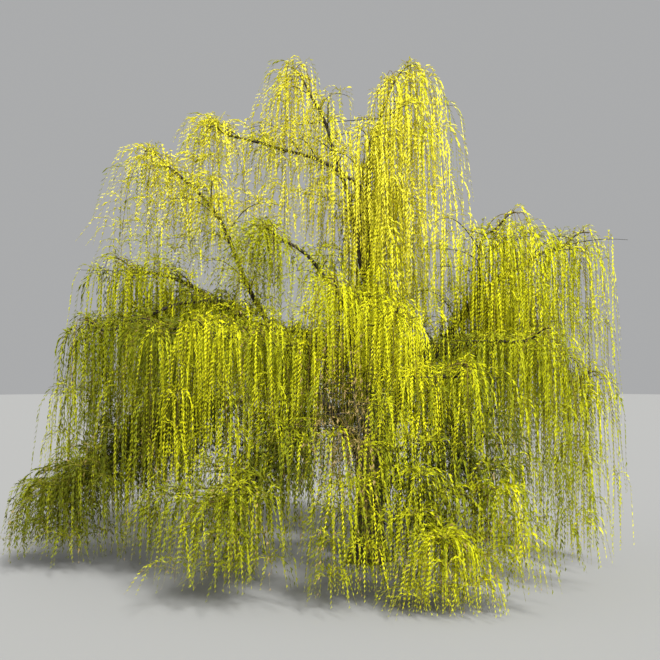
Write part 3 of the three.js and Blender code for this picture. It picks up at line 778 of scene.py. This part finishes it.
leaf_tree, given, result = new_tree("leaves_along_shoots", {
    "Shoots": "Geometry", "Leaf": "Object", "Pitch": "Float", "Growth": "Float", "Roll": "Float",
    "Seed": "Int", "Tint": "Material"})
curves = node_in(leaf_tree, "GeometryNodeMeshToCurve", {"Mesh": given["Shoots"]})
spots = node_in(leaf_tree, "GeometryNodeCurveToPoints", {"Curve": curves.outputs[0]}, mode="LENGTH")
leaf_tree.links.new(given["Pitch"], spots.inputs["Length"])
facing = node_in(leaf_tree, "GeometryNodeInputNamedAttribute", {"Name": "facing"},
                 data_type="FLOAT_VECTOR").outputs[0]
turned = node_in(leaf_tree, "FunctionNodeAlignRotationToVector", {
    "Rotation": spots.outputs["Rotation"], "Vector": facing}, axis="Y", pivot_axis="Z").outputs[0]
roll = node_in(leaf_tree, "FunctionNodeRandomValue", {"Min": -1.0, "Max": 1.0, "Seed": given["Seed"]},
               data_type="FLOAT")
roll = node_in(leaf_tree, "ShaderNodeMath", {
    0: next(s for s in roll.outputs if s.enabled), 1: given["Roll"]}, operation="MULTIPLY").outputs[0]
lean = node_in(leaf_tree, "ShaderNodeCombineXYZ", {"X": 0.0, "Y": 0.0, "Z": roll}).outputs[0]
lean = node_in(leaf_tree, "FunctionNodeEulerToRotation", {"Euler": lean}).outputs[0]
turned = node_in(leaf_tree, "FunctionNodeRotateRotation", {
    "Rotation": turned, "Rotate By": lean}, rotation_space="LOCAL").outputs[0]
size = node_in(leaf_tree, "FunctionNodeRandomValue", {
    "Min": LEAF_SIZES[0], "Max": LEAF_SIZES[1], "Seed": given["Seed"]},
               data_type="FLOAT")
young = node_in(leaf_tree, "GeometryNodeInputNamedAttribute", {"Name": "leafy"}).outputs[0]
size = node_in(leaf_tree, "ShaderNodeMath", {
    0: next(s for s in size.outputs if s.enabled), 1: young}, operation="MULTIPLY").outputs[0]
size = node_in(leaf_tree, "ShaderNodeMath", {0: size, 1: given["Growth"]}, operation="MULTIPLY").outputs[0]
blade = node_in(leaf_tree, "GeometryNodeObjectInfo", {"Object": given["Leaf"]}).outputs["Geometry"]
blades = node_in(leaf_tree, "GeometryNodeInstanceOnPoints", {
    "Points": spots.outputs["Points"], "Instance": blade, "Rotation": turned, "Scale": size})
blades = node_in(leaf_tree, "GeometryNodeRealizeInstances", {"Geometry": blades.outputs[0]})
blades = node_in(leaf_tree, "GeometryNodeSetMaterial", {
    "Geometry": blades.outputs[0], "Material": given["Tint"]})
leaf_tree.links.new(blades.outputs[0], result)

blade_corners = np.array([
    (0, 0, 0), (-LEAF_HALF_WIDTH, LEAF_FOLD, LEAF_LENGTH * LEAF_WIDEST), (0, 0, LEAF_LENGTH),
    (LEAF_HALF_WIDTH, LEAF_FOLD, LEAF_LENGTH * LEAF_WIDEST)])
corners = []
for splay, bow, step in zip(PAIR_SPLAYS, PAIR_BOWS, (0, PAIR_STEP)):
    spread_out = Euler((bow, splay, 0)).to_matrix()
    corners += [tuple(spread_out @ Vector(corner) + Vector((0, 0, step))) for corner in blade_corners]
mesh = bpy.data.meshes.new("leaf_pair")
mesh.from_pydata(corners, [], [(0, 2, 1), (0, 3, 2), (4, 5, 6), (4, 6, 7)])
leaf = bpy.data.objects.new("leaf_pair", mesh)
bpy.context.scene.collection.objects.link(leaf)

LEAF_SIZE_ALONG = {len(SHOOT_SHARES): [0.6, 0.95, 1, 1, 0.45], len(SHORT_SHOOT_SHARES): [0.6, 1, 1, 0.45]}
left_over = sprays
for tint, (shade, growth, belongs) in TINTS.items():
    material, tree, shader = new_finish("leaf_" + tint)
    shader.inputs["Base Color"].default_value = colour(shade)
    shader.inputs["Roughness"].default_value = 0.6
    shader.inputs["Specular IOR Level"].default_value = 0.15
    dealt = [spray for spray in left_over if belongs(spray)]
    left_over = [spray for spray in left_over if not belongs(spray)]
    pitch = PAIR_PITCH * growth * (DRY_THINNING if tint == "straw" else 1)
    length = sum(np.linalg.norm(np.diff(spray["path"], axis=0), axis=1).sum() for spray in dealt)
    parts = max(math.ceil(length / pitch / MOST_PAIRS_A_PIECE), 1)
    for part in range(parts):
        group = dealt[part::parts]
        leaves = paths_mesh(f"leaves_{tint}_{part + 1}", [spray["path"] for spray in group],
                            leafy=[LEAF_SIZE_ALONG[len(spray["path"])] for spray in group],
                            facing=[np.tile(spray["facing"], (len(spray["path"]), 1)) for spray in group])
        grown(leaves, leaf_tree, {"Leaf": leaf, "Pitch": pitch, "Growth": growth, "Roll": PAIR_ROLL,
                                  "Seed": FIRST_SEED + part, "Tint": material}, dropped=("leafy", "facing"))
        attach(leaves, "root")
        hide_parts(*sorted({"foliage_" + spray["bough"]["name"] for spray in group}))
bpy.data.objects.remove(leaf)

# Floor, light and camera
# A plain pale floor under plain soft studio light. The camera looks from the photograph's angle, with
# the distance and height that the size of the tree was worked out from.
bpy.ops.mesh.primitive_circle_add(vertices=96, radius=90, fill_type="NGON")
floor = bpy.context.object
floor.name = "floor"
floor_finish, tree, shader = new_finish("pale_floor")
shader.inputs["Base Color"].default_value = (0.36, 0.36, 0.35, 1)
shader.inputs["Roughness"].default_value = 0.9
floor.data.materials.append(floor_finish)

world = bpy.data.worlds.new("studio")
world.use_nodes = True
world.node_tree.nodes["Background"].inputs["Color"].default_value = (0.9, 0.91, 0.92, 1)
world.node_tree.nodes["Background"].inputs["Strength"].default_value = 0.45
bpy.context.scene.world = world

lamp = bpy.data.lights.new("softbox", "SUN")
lamp.energy = 4.9
lamp.angle = math.radians(12)
softbox = bpy.data.objects.new("softbox", lamp)
softbox.rotation_euler = (math.radians(46), 0, math.radians(22))
bpy.context.scene.collection.objects.link(softbox)

SENSOR_WIDTH = 36
FOCAL_PIXELS = 1288
PHOTO_PIXELS = 660
lens = bpy.data.cameras.new("camera")
lens.sensor_width = SENSOR_WIDTH
lens.lens = SENSOR_WIDTH * FOCAL_PIXELS / PHOTO_PIXELS
camera = bpy.data.objects.new("camera", lens)
camera.location = (-0.83, -28, 4.8)
camera.rotation_euler = (math.radians(90.44), 0, 0)
bpy.context.scene.collection.objects.link(camera)
bpy.context.scene.camera = camera
bpy.context.scene.view_settings.view_transform = "Standard"
